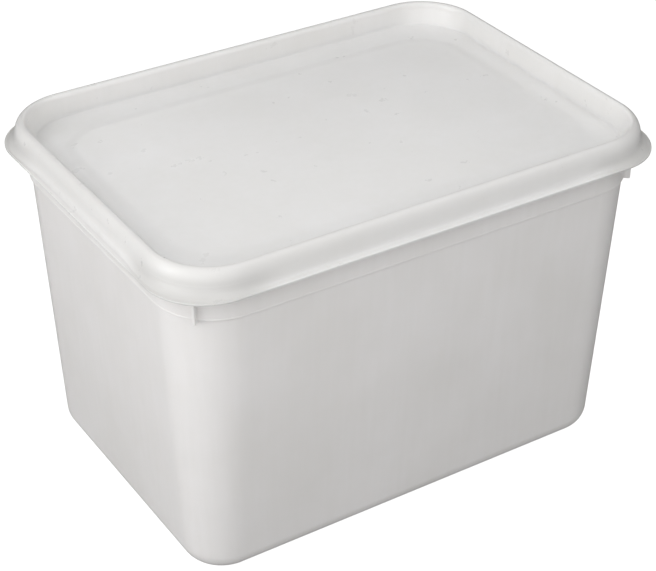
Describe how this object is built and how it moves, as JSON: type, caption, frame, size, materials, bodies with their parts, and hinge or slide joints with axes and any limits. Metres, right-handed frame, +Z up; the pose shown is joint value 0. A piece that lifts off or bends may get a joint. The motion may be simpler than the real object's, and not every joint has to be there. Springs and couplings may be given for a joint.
{
  "type": "ice cream tub",
  "caption": "Shut family-size plastic ice cream tub: tapered rectangular container with rounded corners, a step line under the rim and a press-on lid with a raised bead and flared lip.",
  "frame": {"origin": "centre of the tub's underside, on the surface it stands on", "axes": "+Z up, X along the long side, Y across; the pack is the same under a half turn about Z, and the long side seen first faces -Y"},
  "size_m": [0.229, 0.1662, 0.1514],
  "materials": {
    "tub_pp": "satin injection-moulded natural white polypropylene, slightly translucent",
    "lid_pp": "semi-gloss injection-moulded white polypropylene, slightly translucent"
  },
  "bodies": {
    "root": {"tub": "tub_pp", "lid": "lid_pp"}
  },
  "joints": []
}
